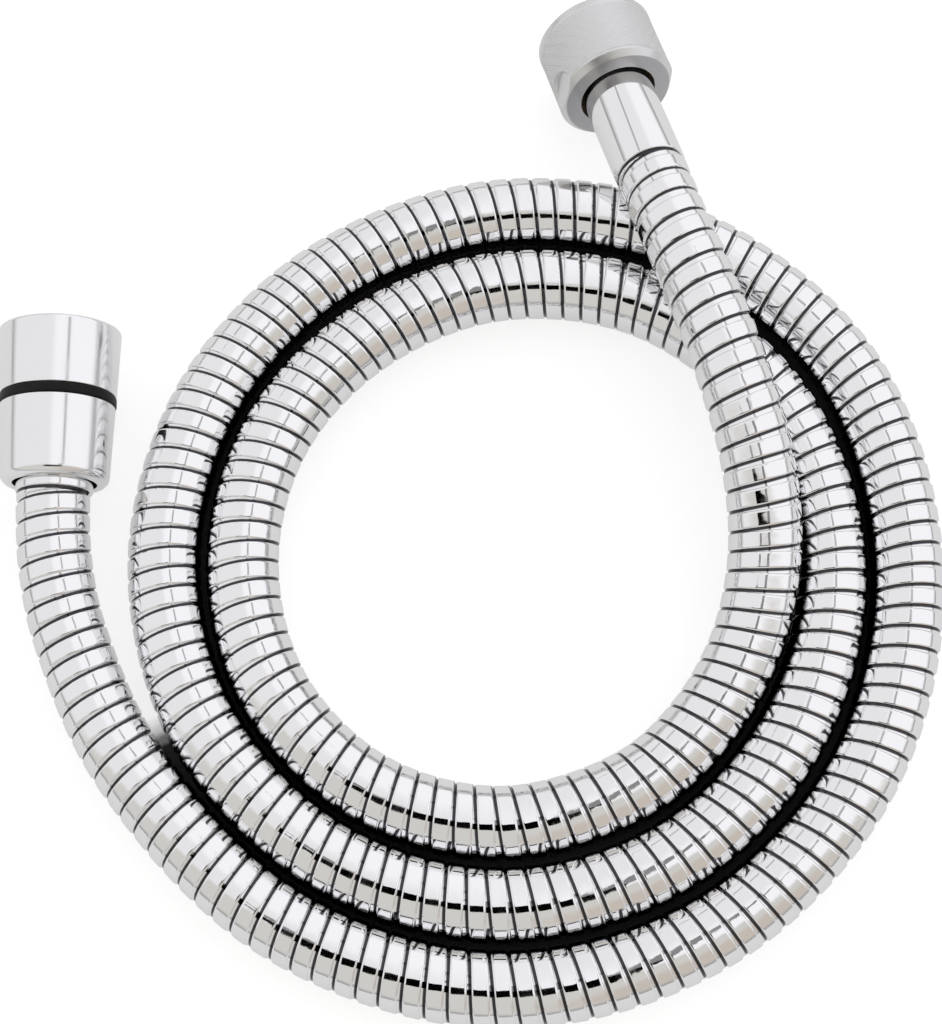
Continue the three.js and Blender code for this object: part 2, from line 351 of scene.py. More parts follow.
def mix_colours(tree, mask, plain, marked):
    """Plain colour where the mask is 0, marked colour where it is 1."""
    made = add_node(tree, "ShaderNodeMix", {"data_type": "RGBA"})
    tree.links.new(mask, made.inputs["Factor"])
    sockets = [socket for socket in made.inputs if socket.type == "RGBA"]
    for socket, colour in zip(sockets, (plain, marked)):
        if isinstance(colour, bpy.types.NodeSocket):
            tree.links.new(colour, socket)
        else:
            socket.default_value = (*colour, 1)
    return next(socket for socket in made.outputs if socket.type == "RGBA")


def strip_chrome():
    material, tree, shader = metal("wound chrome strip, painted shade", CHROME, 0.05, 0.14, 0.03)
    # Painted shade: a band of each seam, and the strip beside each sleeve, take the dark seam colour.
    next_edge = calc(tree, "SUBTRACT", read_attribute(tree, "spacing"), LAND / 2)
    into_seam = calc(tree, "ADD", read_attribute(tree, "across"), SEAM_SHADE)
    past_edge = calc(tree, "SUBTRACT", into_seam, next_edge)
    seam = add_node(tree, "ShaderNodeMapRange", Value=past_edge, From_Min=0.0, From_Max=0.2)
    sleeve_edge = read_attribute(tree, "sleeve distance")
    beside_sleeve = between(tree, sleeve_edge, SLEEVE_SHADE + 0.1, SLEEVE_SHADE)
    edge_shade = calc(tree, "MAXIMUM", seam.outputs[0], beside_sleeve)
    # Painted shade: near black where another lap is close, with a ragged edge from noise.
    place = add_node(tree, "ShaderNodeTexCoord").outputs["Object"]
    patches = add_node(tree, "ShaderNodeTexNoise", Vector=place, Scale=0.9 / MM, Detail=2.0)
    ragged = calc(tree, "MULTIPLY_ADD", patches.outputs[0], LAP_RAGGED, -LAP_RAGGED / 2)
    lap = calc(tree, "ADD", read_attribute(tree, "lap distance"), ragged)
    touch = add_node(
        tree, "ShaderNodeMapRange", Value=lap,
        From_Min=LAP_TOUCH, From_Max=LAP_CLEAR, To_Min=1.0, To_Max=0.0,
    )
    seamed = mix_colours(tree, edge_shade, CHROME, SEAM_PAINTED_SHADE)
    tree.links.new(mix_colours(tree, touch.outputs[0], seamed, LAP_PAINTED_SHADE), shader.inputs["Base Color"])
    return material


strip_metal = strip_chrome()

# %% [markdown]
# Rubber is dull and dark. A fine grain breaks its sheen, and a little dust lightens it in places.

# %% Rubber
def rubber(name, colour, dust, roughness):
    material, tree, shader = new_material(name)
    place = add_node(tree, "ShaderNodeTexCoord").outputs["Object"]
    grain = add_node(tree, "ShaderNodeTexNoise", Vector=place, Scale=4 / MM, Detail=3.0)
    patches = add_node(tree, "ShaderNodeTexNoise", Vector=place, Scale=0.2 / MM, Detail=4.0)
    blend = add_node(tree, "ShaderNodeMapRange", Value=patches.outputs[0], From_Min=0.4, From_Max=0.8)
    tree.links.new(mix_colours(tree, blend.outputs[0], colour, dust), shader.inputs["Base Color"])
    shader.inputs["Roughness"].default_value = roughness
    shader.inputs["Specular IOR Level"].default_value = 0.2
    bump(tree, shader, grain.outputs[0], 0.02)
    return material


black_rubber = rubber("black rubber", (0.006, 0.006, 0.006), (0.016, 0.016, 0.017), 0.5)
liner_rubber = rubber("grey liner rubber", (0.05, 0.05, 0.052), (0.09, 0.09, 0.09), 0.7)

# %% [markdown]
# Now the hose itself. A section of the folded strip is drawn once, as a small closed outline: the
# land that shows, the lip turned down at one edge, and the step at the other edge that runs under
# the next turn. Geometry Nodes wind it round the route. Each point of the winding line knows its
# turn, and from that its length along the route and its angle round the hose follow. Curve to Mesh
# then sweeps the outline, standing upright on the hose at every point. The same tree winds the
# thread in each nut, with another outline and a short straight route.

# %% The winding tree
def winding_tree():
    tree, given, output = new_tree("winding", [
        ("Section", "NodeSocketObject", None),
        ("Start", "NodeSocketFloat", 0.0),
        ("Turns", "NodeSocketFloat", 10.0),
        ("Steps per turn", "NodeSocketInt", 26),
        ("Pitch", "NodeSocketFloat", 0.004),
        ("Even turns", "NodeSocketFloat", 10.0),
        ("Pitch growth", "NodeSocketFloat", 0.0),
        ("Radius", "NodeSocketFloat", 0.007),
        ("Tuck", "NodeSocketFloat", 0.0),
        ("Phase", "NodeSocketFloat", 0.0),
        ("Material", "NodeSocketMaterial", None),
    ])
    value = given.outputs
    total = calc(tree, "MULTIPLY", value["Turns"], value["Steps per turn"])
    count = calc(tree, "ADD", calc(tree, "FLOOR", total), 1.0)
    line = add_node(tree, "GeometryNodeMeshLine", Count=count)
    spine = add_node(tree, "GeometryNodeMeshToCurve", Mesh=line.outputs[0])
    index = add_node(tree, "GeometryNodeInputIndex").outputs[0]
    turn = calc(tree, "DIVIDE", index, value["Steps per turn"])

    def place_at(this_turn):
        """Place on the winding line and the outward direction there, for a turn number."""
        loosened = calc(tree, "MAXIMUM", calc(tree, "SUBTRACT", this_turn, value["Even turns"]), 0.0)
        growth = calc(tree, "MULTIPLY", calc(tree, "MULTIPLY", value["Pitch growth"], 0.5), loosened)
        stretch = calc(tree, "MULTIPLY", growth, loosened)
        even = calc(tree, "MULTIPLY_ADD", value["Pitch"], this_turn, value["Start"])
        along = calc(tree, "ADD", even, stretch)
        angle = calc(tree, "MULTIPLY_ADD", this_turn, math.tau, value["Phase"])
        sample = add_node(tree, "GeometryNodeSampleCurve", {"mode": "LENGTH", "use_all_curves": True})
        tree.links.new(value["Geometry"], sample.inputs["Curves"])
        tree.links.new(along, sample.inputs["Length"])
        side = vector_calc(tree, "CROSS_PRODUCT", sample.outputs["Tangent"], sample.outputs["Normal"])
        outward = vector_calc(
            tree, "ADD",
            scaled(tree, sample.outputs["Normal"], calc(tree, "COSINE", angle)),
            scaled(tree, side, calc(tree, "SINE", angle)),
        )
        from_end = calc(tree, "SUBTRACT", value["Turns"], this_turn)
        free = calc(tree, "MINIMUM", this_turn, from_end)
        tucked = calc(tree, "SUBTRACT", 1.0, calc(tree, "MINIMUM", free, 1.0))
        radius = calc(tree, "SUBTRACT", value["Radius"], calc(tree, "MULTIPLY", value["Tuck"], tucked))
        return vector_calc(tree, "ADD", sample.outputs["Position"], scaled(tree, outward, radius)), outward

    place, outward = place_at(turn)
    next_place, _ = place_at(calc(tree, "ADD", turn, 1.0))
    apart = add_node(tree, "ShaderNodeVectorMath", {"operation": "DISTANCE"})
    tree.links.new(place, apart.inputs[0])
    tree.links.new(next_place, apart.inputs[1])
    spacing = calc(tree, "DIVIDE", apart.outputs["Value"], MM)
    placed = add_node(tree, "GeometryNodeSetPosition", Geometry=spine.outputs[0], Position=place)
    marked = add_node(
        tree, "GeometryNodeStoreNamedAttribute", {"data_type": "FLOAT", "domain": "POINT"},
        Geometry=placed.outputs[0], Name="spacing", Value=spacing,
    )
    upright = add_node(
        tree, "GeometryNodeSetCurveNormal", {"mode": "FREE"}, Curve=marked.outputs[0], Normal=outward,
    )
    section = add_node(tree, "GeometryNodeObjectInfo", Object=value["Section"])
    point = add_node(tree, "GeometryNodeInputPosition").outputs[0]
    backwards = add_node(tree, "ShaderNodeSeparateXYZ", Vector=point).outputs["Y"]
    across = calc(tree, "DIVIDE", backwards, -MM)
    outline = add_node(
        tree, "GeometryNodeStoreNamedAttribute", {"data_type": "FLOAT", "domain": "POINT"},
        Geometry=section.outputs["Geometry"], Name="across", Value=across,
    )
    swept = add_node(
        tree, "GeometryNodeCurveToMesh",
        Curve=upright.outputs[0], Profile_Curve=outline.outputs[0], Fill_Caps=True,
    )
    finish_tree(tree, swept.outputs[0], value["Material"], output)
    return tree


WINDING = winding_tree()


def line_object(name, points, cyclic=False):
    curve = bpy.data.curves.new(name, "CURVE")
    curve.dimensions = "3D"
    curve.twist_mode = "Z_UP"
    spline = curve.splines.new("POLY")
    spline.points.add(len(points) - 1)
    for made, point in zip(spline.points, points):
        made.co = (*point, 1)
    spline.use_cyclic_u = cyclic
    return bpy.data.objects.new(name, curve)


def section_object(name, outline):
    """A closed outline, given as (distance along the hose, depth below its surface) in millimetres."""
    section = line_object(name, [Vector((-drop, -along, 0)) * MM for along, drop in outline], True)
    bpy.context.scene.collection.objects.link(section)
    return section


def wound(name, path, section, **values):
    values = {title.replace("_", " "): value for title, value in values.items()}
    piece = grown(name, line_object(name + " path", path), WINDING, {"Section": section, **values})
    bpy.data.objects.remove(section)
    face_outwards(piece, 35)
    print(f"{name}: {len(piece.data.polygons)} faces")
    return piece


# %% [markdown]
# The strip's section is drawn in millimetres, with the truly flat land in the middle. Near the tap
# end the photograph shows the turns a little further apart, so the pitch grows over the last part.
# At both ends the strip runs on a short way under a sleeve, and its last turn dips to fit there.

# %% Winding the strip
HOSE_DIAMETER = 14
STRIP_PITCH = 4.0
LOOSE_PITCH = 4.6
LOOSE_LENGTH = 100
HAND_SLEEVE_BACK = 32.6
TAP_SLEEVE_BACK = 37
HOSE_GAP = 0.3
TUCKED_IN = 4
STEPS_PER_TURN = 24

STRIP_OUTLINE = [
    (-1.45, 0.95), (-1.60, 0.36), (-1.51, 0.12), (-1.33, 0.02), (-1.22, 0.00), (-1.12, 0.00),
    (1.12, 0.00), (1.22, 0.00), (1.40, 0.05), (1.55, 0.17), (1.62, 0.34),
    (3.30, 0.48), (3.30, 0.75), (1.30, 1.00),
]

hand_cut = HAND_SLEEVE_BACK + HOSE_GAP
tap_cut = TAP_SLEEVE_BACK + HOSE_GAP
line_in_hand = (HAND.inverted() @ route[0]).z / MM
line_in_tap = (TAP.inverted() @ route[-1]).z / MM
strip_start = hand_cut - line_in_hand
strip_end = route_length / MM - (tap_cut - line_in_tap)
strip_length = strip_end - strip_start

wound_start = strip_start - TUCKED_IN
wound_length = strip_length + 2 * TUCKED_IN
loose_turns = 2 * LOOSE_LENGTH / (STRIP_PITCH + LOOSE_PITCH)
even_turns = (wound_length - LOOSE_LENGTH) / STRIP_PITCH
pitch_growth = (LOOSE_PITCH - STRIP_PITCH) / loose_turns

shower_hose = wound(
    "wound_strip_hose", route, section_object("strip section", STRIP_OUTLINE),
    Start=wound_start * MM, Turns=even_turns + loose_turns, Steps_per_turn=STEPS_PER_TURN,
    Pitch=STRIP_PITCH * MM, Even_turns=even_turns, Pitch_growth=pitch_growth * MM,
    Radius=HOSE_DIAMETER / 2 * MM, Tuck=0.9 * MM, Phase=0.0, Material=strip_metal,
)
print(f"strip: {even_turns + loose_turns:.1f} turns on {strip_length:.0f} mm of hose")

# %% [markdown]
# Where two laps lie side by side, each point of the strip needs to know how near the other lap is.
# A point's own lap is left out by its length along the route: anything more than 150 mm further on
# or back along the hose is another lap. Each point also learns how far outside a sleeve it lies.

# %% Distances to the next lap and to the sleeves
OTHER_LAP = 150
FAR_OFF = 99


def lap_distances(places):
    """For places in metres, the distances in mm to the middles of their own lap and another one."""
    spine = np.array(route)[::3]
    lengths = np.r_[0, np.cumsum(np.linalg.norm(np.diff(spine, axis=0), axis=1))] / MM
    found = []
    for some in np.array_split(places, max(1, len(places) // 2000)):
        apart = np.linalg.norm(some[:, None, :] - spine[None, :, :], axis=2) / MM
        own = apart.min(axis=1)
        own_length = lengths[apart.argmin(axis=1)]
        apart[np.abs(lengths[None, :] - own_length[:, None]) < OTHER_LAP] = FAR_OFF
        found.append(np.stack([own, apart.min(axis=1)]))
    return np.concatenate(found, axis=1)


def sleeve_distances(places):
    """For places in metres, how far outside the nearer sleeve they lie, in mm."""
    found = np.full(len(places), float(FAR_OFF))
    for end, back in ((HAND, HAND_SLEEVE_BACK), (TAP, TAP_SLEEVE_BACK)):
        inverse = np.array(end.inverted())
        local = (places @ inverse[:3, :3].T + inverse[:3, 3]) / MM
        outside = local[:, 2] - back
        off_axis = np.hypot(local[:, 0], local[:, 1])
        near = (off_axis < 0.6 * HOSE_DIAMETER) & (outside < HOSE_DIAMETER)
        found[near] = outside[near]
    return found


def store_values(mesh, name, values):
    stored = mesh.attributes.new(name, "FLOAT", "POINT")
    stored.data.foreach_set("value", values.astype(np.float32))


strip_places = np.empty(len(shower_hose.data.vertices) * 3)
shower_hose.data.vertices.foreach_get("co", strip_places)
strip_places = strip_places.reshape(-1, 3)
store_values(shower_hose.data, "lap distance", lap_distances(strip_places)[1])
store_values(shower_hose.data, "sleeve distance", sleeve_distances(strip_places))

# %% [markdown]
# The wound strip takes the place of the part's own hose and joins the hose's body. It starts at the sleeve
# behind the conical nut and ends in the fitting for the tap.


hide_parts("strip_hose")
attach(shower_hose, "hose")

# %% [markdown]
# Everything on the two ends is turned on a lathe, so each piece is an outline spun round its axis.
# Real edges are never perfectly sharp: the small rounds on the outline are what catches the light.
# Each corner of an outline therefore carries the radius of its own round.

# %% Turned pieces
ROUND_STEPS = 5


def softened(outline):
    """Rows of (depth, radius) from corners of (depth, radius, round), each corner rounded off."""
    rows = []
    for i, (depth, radius, size) in enumerate(outline):
        corner = Vector((depth, radius))
        if not size:
            rows.append(corner)
            continue
        back = (Vector(outline[i - 1][:2]) - corner).normalized()
        ahead = (Vector(outline[(i + 1) % len(outline)][:2]) - corner).normalized()
        half = back.angle(ahead) / 2
        start = corner + back * (size / math.tan(half))
        end = corner + ahead * (size / math.tan(half))
        centre = corner + (back + ahead).normalized() * (size / math.sin(half))
        for k in range(ROUND_STEPS + 1):
            chord = start.lerp(end, k / ROUND_STEPS)
            rows.append(centre + (chord - centre).normalized() * size)
    return rows


def spun(name, rows, segments):
    """A closed outline spun round the Z axis, in millimetres."""
    shape = bmesh.new()
    rings = []
    for i in range(segments):
        turn = math.tau * i / segments
        flat = Vector((math.cos(turn), math.sin(turn), 0))
        rings.append([shape.verts.new((flat * row[1] + Vector((0, 0, row[0]))) * MM) for row in rows])
    for ring, after in zip(rings, rings[1:] + rings[:1]):
        for k in range(len(rows)):
            n = (k + 1) % len(rows)
            shape.faces.new((ring[k], after[k], after[n], ring[n]))
    mesh = bpy.data.meshes.new(name)
    shape.to_mesh(mesh)
    shape.free()
    return bpy.data.objects.new(name, mesh)


def dress(piece, end, body, material, replaced=None):
    """Puts a piece drawn on its own axis in place, and tells the frame what it is."""
    piece.data.transform(end)
    piece.data.materials.clear()
    piece.data.materials.append(material)
    face_outwards(piece, 30)
    if piece.name not in bpy.context.scene.collection.objects:
        bpy.context.scene.collection.objects.link(piece)
    if replaced:
        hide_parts(replaced)
    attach(piece, body)
    return piece


def turned(name, outline, end, body, material, replaced=None, segments=160):
    piece = dress(spun(name, softened(outline), segments), end, body, material, replaced)
    print(f"{name}: {len(piece.data.polygons)} faces")
    return piece


# %% [markdown]
# The conical nut tapers towards the hose. A groove runs round it for the black ring that gives the
# fingers a hold, and behind its inner shoulder a smaller hole lets the sleeve through.

# %% The conical nut
THREAD_MAJOR = 20.955
THREAD_PITCH = 1.814

cone_length = measured("conical_nut", HAND)[1]
CONE_MOUTH = 23.7
CONE_REAR = 20.7
CONE_SHOULDER = 16.5
CONE_REAR_HOLE = 16
GROOVE_MIDDLE = 14.4
GROOVE_WIDTH = 2.1
GROOVE_DEPTH = 1


def cone_radius(depth):
    return (CONE_MOUTH + (CONE_REAR - CONE_MOUTH) * depth / cone_length) / 2


groove_front = GROOVE_MIDDLE - GROOVE_WIDTH / 2
groove_back = GROOVE_MIDDLE + GROOVE_WIDTH / 2
groove_floor = cone_radius(GROOVE_MIDDLE) - GROOVE_DEPTH
turned("conical_union_nut", [
    (0, cone_radius(0), 0.7),
    (groove_front, cone_radius(groove_front), 0.22),
    (groove_front, groove_floor, 0),
    (groove_back, groove_floor, 0),
    (groove_back, cone_radius(groove_back), 0.22),
    (cone_length, cone_radius(cone_length), 1.8),
    (cone_length, CONE_REAR_HOLE / 2, 0.35),
    (CONE_SHOULDER, CONE_REAR_HOLE / 2, 0),
    (CONE_SHOULDER, THREAD_MAJOR / 2, 0),
    (0.5, THREAD_MAJOR / 2, 0.1),
    (0, THREAD_MAJOR / 2 + 0.45, 0.1),
], HAND, "hand_end_nut", nut_chrome, "conical_nut", 192)

ring_outer = cone_radius(GROOVE_MIDDLE) + 0.12
ring_front = groove_front + 0.05
ring_back = groove_back - 0.05
turned("black_grip_ring", [
    (ring_front, groove_floor + 0.05, 0.1),
    (ring_front, ring_outer, 0.4),
    (ring_back, ring_outer, 0.4),
    (ring_back, groove_floor + 0.05, 0.1),
], HAND, "hand_end_nut", black_rubber, "grip_ring")

# %% [markdown]
# Both nuts hold a G 1/2 thread: 14 turns to the inch. The ridge is a blunt triangle, and the winding
# tree lays it in the bore along the nut's own axis.

# %% Threads in the nuts
THREAD_OUTLINE = [(-0.85, -0.15), (0.85, -0.15), (0.18, 1.1), (-0.18, 1.1)]


def thread(name, end, body, first, last):
    axis = [Vector((0, 0, depth)) * MM for depth in np.linspace(first, last, 20)]
    piece = wound(
        name, axis, section_object(name + " section", THREAD_OUTLINE),
        Start=0.0, Turns=(last - first) / THREAD_PITCH, Steps_per_turn=72, Pitch=THREAD_PITCH * MM,
        Even_turns=99.0, Radius=THREAD_MAJOR / 2 * MM, Material=thread_chrome,
    )
    return dress(piece, end, body, thread_chrome)


thread("conical_nut_thread", HAND, "hand_end_nut", 1.5, 11.2)
tap_thread = thread("knurled_nut_thread", TAP, "tap_end_nut", 1.5, 7.8)

# %% [markdown]
# Deep in each nut lies a flat washer, and behind it the flanged end of the brass nipple that is
# pushed into the liner. The sleeve behind it holds the strip. These are simple turned shapes too.

# %% Washers and sleeves
SLEEVE_LIP = 0.85


def washer(name, end, body, replaced):
    front, back, hole, rim = measured(replaced, end)
    return turned(name, [
        (front, hole, 0.2), (front, rim, 0.35), (back, rim, 0.35), (back, hole, 0.2),
    ], end, body, black_rubber, replaced, 96)


def sleeve(name, end, replaced, back, edge):
    front, _, _, rim = measured(replaced, end)
    bore = HOSE_DIAMETER / 2 - SLEEVE_LIP
    return turned(name, [
        (front, bore, 0), (front, rim, 0.2), (back, rim, edge), (back, bore, 0.1),
    ], end, "hose", fitting_chrome, replaced)


washer("hand_end_flat_washer", HAND, "hand_end_nut", "hand_end_washer")
tap_washer = washer("tap_end_flat_washer", TAP, "tap_end_nut", "tap_end_washer")
sleeve("hand_end_smooth_sleeve", HAND, "hand_end_sleeve", HAND_SLEEVE_BACK, 0.3)
tap_sleeve = sleeve("tap_end_smooth_sleeve", TAP, "tap_end_sleeve", TAP_SLEEVE_BACK, 0.25)

# %% [markdown]
# The knurled nut is a round one. A wheel pressed a fine diamond pattern into it, and then two flats
# were milled in from the rear, each ending in a half round, so that a spanner can grip it. The body
# is spun with a close mesh, and Geometry Nodes move its outer skin: first down for the knurl, by the
# lower of two saw-tooth waves that run round the nut at opposite slants, and then down to the flats.

# %% The knurled nut
NUT_LENGTH = 16.5
NUT_RADIUS = 11.9
NUT_SHOULDER = 13.1
NUT_REAR_HOLE = 15.4
NUT_REAR_FACE = 21.4
NUT_REAR_BEVEL = 1.3
KNURL_TEETH = 110
KNURL_DEPTH = 0.16
KNURL_PITCH = 0.68
KNURL_FRONT = 2.1
KNURL_BACK = 14.4
KNURL_FADE = 0.3 * MM
SKIN = 0.02 * MM
FLAT_RADIUS = 11
FLAT_WIDTH = 8.6
FLAT_LENGTH = 5.8
FLAT_TURN = 164.5
FLAT_COUNT = 2


def hypotenuse(tree, one, other):
    squares = calc(tree, "ADD", calc(tree, "POWER", one, 2.0), calc(tree, "POWER", other, 2.0))
    return calc(tree, "SQRT", squares)


def knurl_tree():
    tree, given, output = new_tree("knurl and spanner flats", [
        ("Radius", "NodeSocketFloat", NUT_RADIUS * MM),
        ("Length", "NodeSocketFloat", NUT_LENGTH * MM),
        ("Teeth", "NodeSocketFloat", 110.0),
        ("Tooth size", "NodeSocketFloat", 0.0007),
        ("Knurl depth", "NodeSocketFloat", 0.0001),
        ("Knurl front", "NodeSocketFloat", 0.001),
        ("Knurl back", "NodeSocketFloat", 0.013),
        ("Flat radius", "NodeSocketFloat", 0.011),
        ("Flat width", "NodeSocketFloat", 0.0086),
        ("Flat length", "NodeSocketFloat", 0.0062),
        ("Flat turn", "NodeSocketFloat", 0.0),
        ("Flats", "NodeSocketFloat", 2.0),
        ("Material", "NodeSocketMaterial", None),
    ])
    value = given.outputs
    place = add_node(tree, "GeometryNodeInputPosition").outputs[0]
    parts = add_node(tree, "ShaderNodeSeparateXYZ", Vector=place)
    x, y, depth = parts.outputs
    radius = hypotenuse(tree, x, y)
    angle = calc(tree, "ARCTAN2", y, x)
    around = calc(tree, "MULTIPLY", calc(tree, "DIVIDE", angle, math.tau), value["Teeth"])
    rise = calc(tree, "DIVIDE", depth, value["Tooth size"])
    slants = []
    for operation in ("ADD", "SUBTRACT"):
        wave = calc(tree, "PINGPONG", calc(tree, operation, around, rise), 0.5)
        slants.append(calc(tree, "MULTIPLY", wave, 2.0))
    groove = calc(tree, "SUBTRACT", 1.0, calc(tree, "MINIMUM", *slants))
    past_front = calc(tree, "SUBTRACT", depth, value["Knurl front"])
    short_of_back = calc(tree, "SUBTRACT", calc(tree, "ADD", value["Knurl back"], KNURL_FADE), depth)
    starts = calc(tree, "DIVIDE", past_front, KNURL_FADE, clamp=True)
    ends = calc(tree, "DIVIDE", short_of_back, KNURL_FADE, clamp=True)
    outer = calc(tree, "GREATER_THAN", radius, calc(tree, "SUBTRACT", value["Radius"], SKIN))
    knurled = calc(tree, "MULTIPLY", calc(tree, "MULTIPLY", starts, ends), outer)
    cut = calc(tree, "MULTIPLY", calc(tree, "MULTIPLY", groove, value["Knurl depth"]), knurled)
    skin = calc(tree, "SUBTRACT", radius, cut)
    half_sector = calc(tree, "DIVIDE", math.pi, value["Flats"])
    turned_angle = calc(tree, "SUBTRACT", angle, value["Flat turn"])
    off_flat = calc(tree, "WRAP", turned_angle, half_sector, calc(tree, "MULTIPLY", half_sector, -1.0))
    flat_radius = calc(tree, "DIVIDE", value["Flat radius"], calc(tree, "COSINE", off_flat))
    sideways = calc(tree, "MULTIPLY", skin, calc(tree, "SINE", off_flat))
    half_width = calc(tree, "DIVIDE", value["Flat width"], 2.0)
    round_middle = calc(
        tree, "ADD", calc(tree, "SUBTRACT", value["Length"], value["Flat length"]), half_width,
    )
    short_of = calc(tree, "MAXIMUM", calc(tree, "SUBTRACT", round_middle, depth), 0.0)
    from_middle = hypotenuse(tree, sideways, short_of)
    inside = add_node(
        tree, "ShaderNodeMapRange", Value=calc(tree, "SUBTRACT", half_width, from_middle),
        From_Min=-0.00005, From_Max=0.0001,
    )
    lowered = calc(tree, "MINIMUM", skin, flat_radius)
    dropped = calc(tree, "MULTIPLY", calc(tree, "SUBTRACT", skin, lowered), inside.outputs[0])
    wanted = calc(tree, "SUBTRACT", skin, dropped)
    factor = calc(tree, "DIVIDE", wanted, radius)
    flat_place = add_node(
        tree, "ShaderNodeCombineXYZ",
        X=calc(tree, "MULTIPLY", x, factor), Y=calc(tree, "MULTIPLY", y, factor), Z=depth,
    )
    moved = add_node(
        tree, "GeometryNodeSetPosition", Geometry=value["Geometry"], Position=flat_place.outputs[0],
    )
    marked = add_node(
        tree, "GeometryNodeStoreNamedAttribute", {"data_type": "FLOAT", "domain": "POINT"},
        Geometry=moved.outputs[0], Name="depth", Value=calc(tree, "DIVIDE", depth, MM),
    )
    finish_tree(tree, marked.outputs[0], value["Material"], output)
    return tree


def close_rows(rows, first, last, step):
    """Rows with extra ones a step apart on the stretches between two depths at the outer radius."""
    filled = []
    for here, after in zip(rows, rows[1:] + rows[:1]):
        filled.append(here)
        outside = min(here[1], after[1]) > first and abs(after[0] - here[0]) > step
        if outside and max(here[0], after[0]) <= last:
            count = math.ceil(abs(after[0] - here[0]) / step)
            filled.extend(here.lerp(after, k / count) for k in range(1, count))
    return filled


SATIN = (0.74, 0.74, 0.745)
# The rear face of the knurled nut is simply coloured darker than the knurl.
DARKER_REAR_SATIN = (0.50, 0.50, 0.51)


def knurled_satin():
    material, tree, shader = metal("knurled satin chrome", SATIN, 0.28, 0.42, 0.012, 0.5)
    rear = between(tree, read_attribute(tree, "depth"), NUT_LENGTH - 0.2, NUT_LENGTH - 0.05)
    tree.links.new(mix_colours(tree, rear, SATIN, DARKER_REAR_SATIN), shader.inputs["Base Color"])
    return material


knurled_metal = knurled_satin()
nut_rows = softened([
    (0, NUT_RADIUS - 0.9, 0.1),
    (0.9, NUT_RADIUS, 0.15),
    (NUT_LENGTH - NUT_REAR_BEVEL, NUT_RADIUS, 0.2),
    (NUT_LENGTH, NUT_REAR_FACE / 2, 0.15),
    (NUT_LENGTH, NUT_REAR_HOLE / 2, 0.15),
    (NUT_SHOULDER, NUT_REAR_HOLE / 2, 0),
    (NUT_SHOULDER, THREAD_MAJOR / 2, 0),
    (0.5, THREAD_MAJOR / 2, 0.1),
    (0, THREAD_MAJOR / 2 + 0.3, 0),
])
nut_body = spun("knurled nut body", close_rows(nut_rows, NUT_REAR_FACE / 2 - 0.1, 99, 0.13), 576)
knurled_nut = grown("knurled_union_nut", nut_body, knurl_tree(), {
    "Radius": NUT_RADIUS * MM, "Length": NUT_LENGTH * MM, "Teeth": float(KNURL_TEETH),
    "Tooth size": KNURL_PITCH * MM, "Knurl depth": KNURL_DEPTH * MM, "Knurl front": KNURL_FRONT * MM,
    "Knurl back": KNURL_BACK * MM, "Flat radius": FLAT_RADIUS * MM, "Flat width": FLAT_WIDTH * MM,
    "Flat length": FLAT_LENGTH * MM, "Flat turn": math.radians(FLAT_TURN),
    "Flats": float(FLAT_COUNT), "Material": knurled_metal,
})
dress(knurled_nut, TAP, "tap_end_nut", knurled_metal, "knurled_nut")
print(f"knurled nut: {len(knurled_nut.data.polygons)} faces")

# %% [markdown]
# The pieces that stay hidden in the ends keep the part's own solids. They only need their metals.

# %% Pieces kept from the part
# The nipples and crimp rings get the brass that is painted dark, as painted shade.
KEPT = {
    "hand_end_nipple": brass_painted_shade, "tap_end_nipple": brass_painted_shade,
    "hand_end_crimp_ring": brass_painted_shade, "tap_end_crimp_ring": brass_painted_shade,
    "liner_tube": liner_rubber,
}
for node_name, material in KEPT.items():
    kept = frame["nodes"][node_name]
    kept.data.materials.clear()
    kept.data.materials.append(material)

# %% [markdown]
# The studio is a white light tent over a white sheet. Chrome shows all of it, so the tent matters
# more than any lamp: brighter behind the hose, a little dimmer and warmer in front, and greyer
# low down. A dark opening in its roof, where the camera looks in, draws the short black dashes on
# the stretches of hose that cross the picture, and a seam of the cloth beside it draws a thin line
# on the stretches that run up and down.

# %% Light tent
SKY_BACK = (1.0, 0.99, 1.015)
SKY_LEFT = (0.86, 0.855, 0.865)
SKY_FRONT = (0.67, 0.655, 0.62)
SKY_WARM = (0.60, 0.54, 0.48)
SKY_EDGE = (0.36, 0.36, 0.36)
PAPER_WHITE = (1, 1, 1)
WARM_WAY = (0.55, -0.75, 0.36)


def tent_world():
    world = bpy.data.worlds.new("light tent")
    world.use_nodes = True
    tree = world.node_tree
    direction = add_node(tree, "ShaderNodeTexCoord").outputs["Generated"]
    parts = add_node(tree, "ShaderNodeSeparateXYZ", Vector=direction).outputs
    warmth = vector_calc(tree, "DOT_PRODUCT", direction, WARM_WAY)
    sky = mix_colours(tree, between(tree, parts["X"], 0.12, -0.1), SKY_BACK, SKY_LEFT)
    sky = mix_colours(tree, between(tree, parts["Y"], -0.2, -0.34), sky, SKY_FRONT)
    sky = mix_colours(tree, between(tree, warmth, 0.86, 0.97), sky, SKY_WARM)
    sky = mix_colours(tree, between(tree, parts["Z"], 0.22, 0.0), sky, SKY_EDGE)
    seen = add_node(tree, "ShaderNodeLightPath").outputs["Is Camera Ray"]
    sky = mix_colours(tree, seen, sky, PAPER_WHITE)
    tree.links.new(sky, tree.nodes["Background"].inputs["Color"])
    tree.nodes["Background"].inputs["Strength"].default_value = 1.0
    bpy.context.scene.world = world


def stage_mesh(name, mesh, material):
    mesh.materials.append(material)
    stood = bpy.data.objects.new(name, mesh)
    bpy.context.scene.collection.objects.link(stood)
    return stood


def card_material(name, tone):
    material, _, shader = new_material(name)
    shader.inputs["Base Color"].default_value = (0, 0, 0, 1)
    shader.inputs["Roughness"].default_value = 1
    shader.inputs["Specular IOR Level"].default_value = 0
    shader.inputs["Emission Color"].default_value = (tone, tone, tone, 1)
    shader.inputs["Emission Strength"].default_value = 1
    return material


